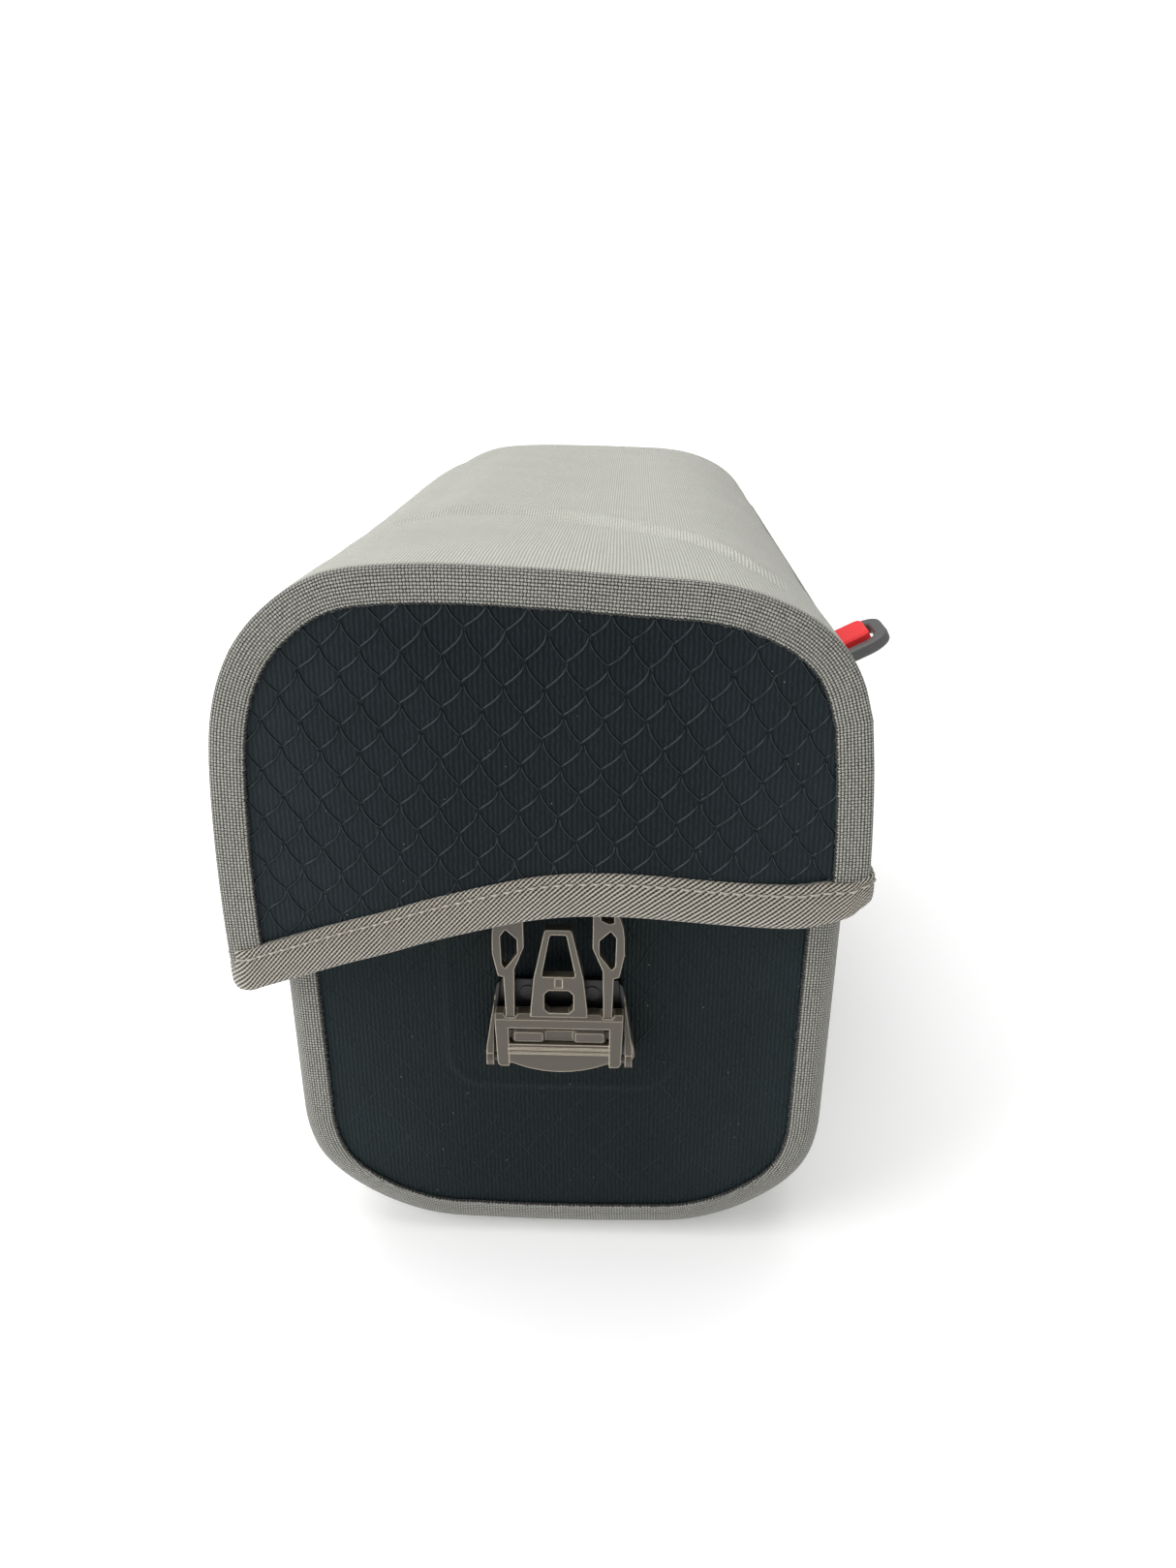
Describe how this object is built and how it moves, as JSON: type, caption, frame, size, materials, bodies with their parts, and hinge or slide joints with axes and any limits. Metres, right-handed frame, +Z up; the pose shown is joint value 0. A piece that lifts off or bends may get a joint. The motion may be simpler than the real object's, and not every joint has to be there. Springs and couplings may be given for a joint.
{
  "type": "bicycle saddle bag",
  "caption": "Box-shaped transverse saddle bag: hooded hinged lid, scale-pattern end panels, side-release end buckles and a quick-release back hook.",
  "frame": {"origin": "middle of the bag's flat underside", "axes": "+Y along the bag, from the right end to the left end; +X out of the back, where the hinge and hook are; +Z up"},
  "size_m": [0.1936, 0.3376, 0.198],
  "materials": {
    "grey_fabric": "coated plain weave",
    "black_fabric": "coated, embossed scale lines",
    "liner_fabric": "smooth coated lining",
    "binding_tape": "twill tape",
    "hinge_fabric": "heavy coated cloth",
    "board_plastic": "extruded sheet",
    "webbing": "woven nylon webbing",
    "buckle_plastic": "satin acetal",
    "steel": "plain",
    "hook_plastic": "fine grain",
    "lever_plastic": "satin",
    "rail_metal": "black anodised"
  },
  "bodies": {
    "bag": {"body_shell": "grey_fabric", "end_panel_right": "black_fabric", "end_panel_left": "black_fabric", "base_board": "board_plastic", "front_board": "board_plastic", "back_board": "board_plastic", "end_board_right": "board_plastic", "end_board_left": "board_plastic", "liner": "liner_fabric", "mouth_binding": "binding_tape", "hinge_strip": "hinge_fabric", "buckle_patch_right": "black_fabric", "buckle_patch_left": "black_fabric", "buckle_anchor_right": "buckle_plastic", "buckle_anchor_left": "buckle_plastic", "buckle_pin_right": "buckle_plastic", "buckle_pin_left": "buckle_plastic", "anchor_rivets_right": "steel", "anchor_rivets_left": "steel", "mount_rail": "rail_metal", "backing_strip": "rail_metal", "rail_screws": "steel", "rail_nuts": "steel", "hook_body": "hook_plastic", "hook_pin": "steel", "hook_screws": "steel", "hook_spring": "steel", "post_strap": "webbing", "strap_patch": "black_fabric"},
    "lid": {"lid_shell": "grey_fabric", "lid_panel_right": "black_fabric", "lid_panel_left": "black_fabric", "lid_board": "board_plastic", "lid_liner": "liner_fabric", "lid_binding": "binding_tape", "lid_hinge_flap": "hinge_fabric", "socket_tab_right": "webbing", "socket_tab_left": "webbing", "socket_right": "buckle_plastic", "socket_left": "buckle_plastic"},
    "lever": {"hook_lever": "lever_plastic"},
    "buckle_right": {"buckle_frame_right": "buckle_plastic"},
    "prong_back_right": {"prong_back_right": "buckle_plastic"},
    "prong_front_right": {"prong_front_right": "buckle_plastic"},
    "buckle_left": {"buckle_frame_left": "buckle_plastic"},
    "prong_back_left": {"prong_back_left": "buckle_plastic"},
    "prong_front_left": {"prong_front_left": "buckle_plastic"}
  },
  "joints": [
    {"name": "lid_hinge", "type": "hinge", "parent": "bag", "child": "lid", "pos_m": [0.0765, 0, 0.1652], "axis": [0, 1, 0], "range_deg": [0, 110]},
    {"name": "lever_pivot", "type": "hinge", "parent": "bag", "child": "lever", "pos_m": [0.0915, 0, 0.1255], "axis": [0, -1, 0], "range_deg": [0, 25], "stiffness_Nm_per_rad": 0.03, "springref_deg": -28.65},
    {"name": "buckle_swing_right", "type": "hinge", "parent": "bag", "child": "buckle_right", "pos_m": [0.0006, -0.1604, 0.0682], "axis": [1, 0, 0], "range_deg": [0, 100]},
    {"name": "prong_back_squeeze_right", "type": "hinge", "parent": "buckle_right", "child": "prong_back_right", "pos_m": [0.0133, -0.16, 0.0812], "axis": [0, -1, 0], "range_deg": [0, 6], "stiffness_Nm_per_rad": 0.005, "springref_deg": -17.19},
    {"name": "prong_front_squeeze_right", "type": "hinge", "parent": "buckle_right", "child": "prong_front_right", "pos_m": [-0.0121, -0.16, 0.0812], "axis": [0, 1, 0], "range_deg": [0, 6], "stiffness_Nm_per_rad": 0.005, "springref_deg": -17.19},
    {"name": "buckle_swing_left", "type": "hinge", "parent": "bag", "child": "buckle_left", "pos_m": [0.0006, 0.1604, 0.0682], "axis": [-1, 0, 0], "range_deg": [0, 100]},
    {"name": "prong_back_squeeze_left", "type": "hinge", "parent": "buckle_left", "child": "prong_back_left", "pos_m": [0.0133, 0.16, 0.0812], "axis": [0, -1, 0], "range_deg": [0, 6], "stiffness_Nm_per_rad": 0.005, "springref_deg": -17.19},
    {"name": "prong_front_squeeze_left", "type": "hinge", "parent": "buckle_left", "child": "prong_front_left", "pos_m": [-0.0121, 0.16, 0.0812], "axis": [0, 1, 0], "range_deg": [0, 6], "stiffness_Nm_per_rad": 0.005, "springref_deg": -17.19}
  ],
  "couplings": [
    {"joint": "prong_front_squeeze_right", "follows": "prong_back_squeeze_right", "ratio": 1},
    {"joint": "prong_front_squeeze_left", "follows": "prong_back_squeeze_left", "ratio": 1}
  ]
}
